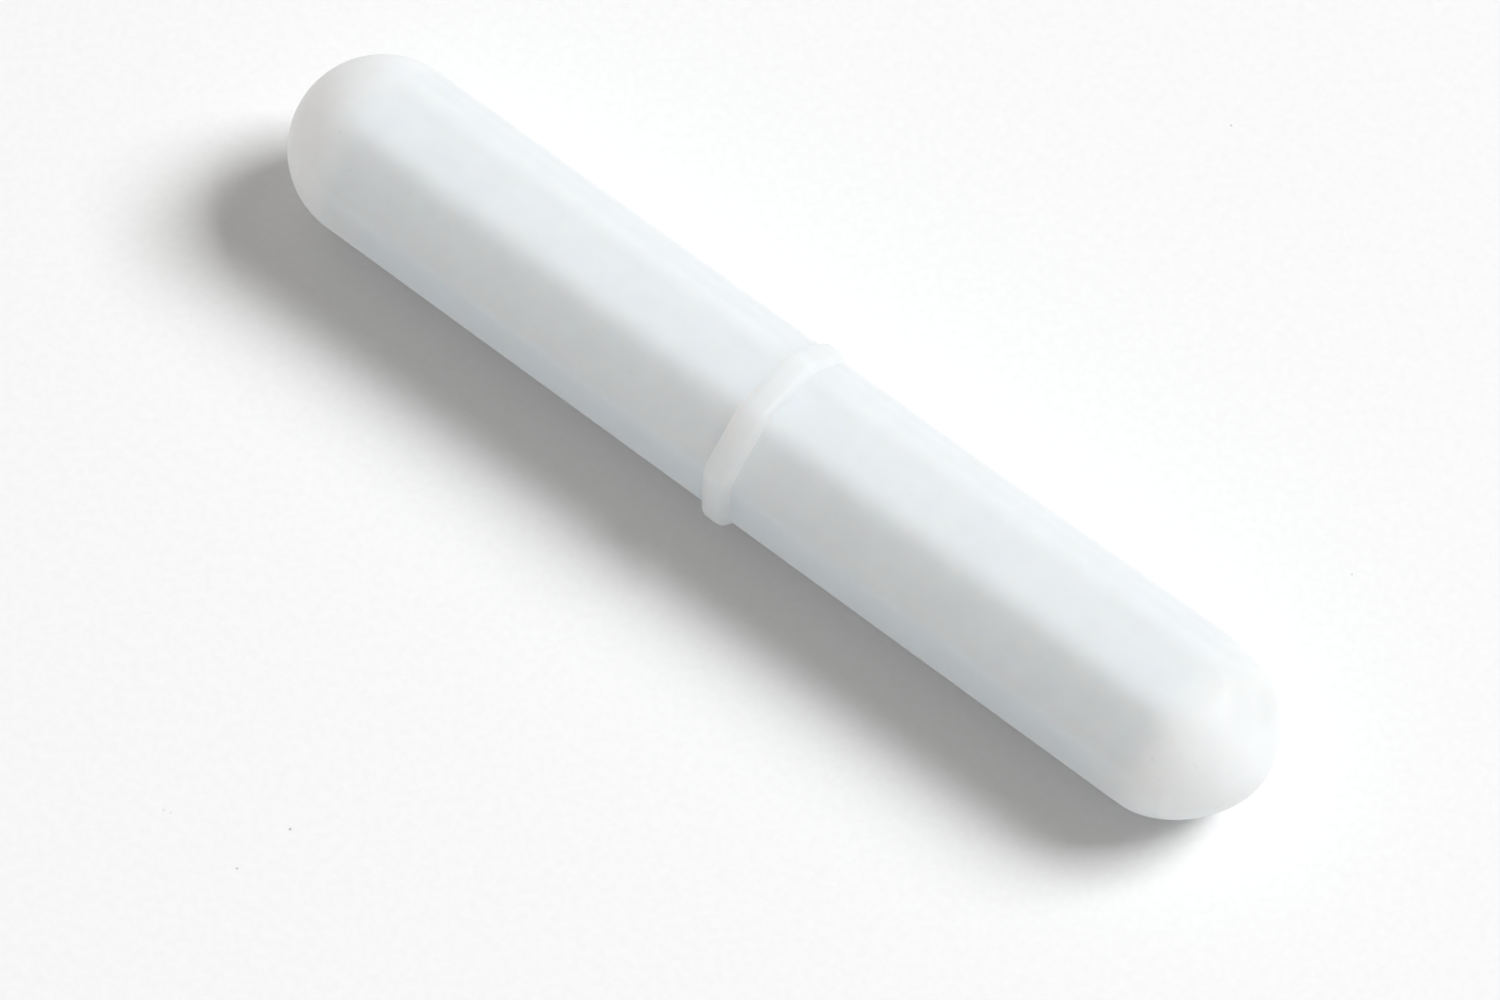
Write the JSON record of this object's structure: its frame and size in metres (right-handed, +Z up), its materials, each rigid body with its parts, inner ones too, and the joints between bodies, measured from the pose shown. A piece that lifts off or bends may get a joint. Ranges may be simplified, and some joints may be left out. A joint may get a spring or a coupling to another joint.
{
  "type": "magnetic stir bar",
  "caption": "Straight white stir bar with an octagonal barrel, rounded ends and a raised pivot ring around its middle, moulded over a magnet rod sealed inside.",
  "frame": {"origin": "centre of the bar, on its axis and in the middle plane of the pivot ring", "axes": "+X along the bar's axis, +Z up, square to the flat of the barrel that faces up, +Y across the bar"},
  "size_m": [0.05, 0.0082, 0.0082],
  "materials": {
    "jacket": "satin moulded fluoropolymer, white and slightly translucent",
    "magnet": "cast magnet alloy, dull dark grey"
  },
  "bodies": {
    "root": {"jacket": "jacket", "magnet": "magnet"}
  },
  "joints": []
}
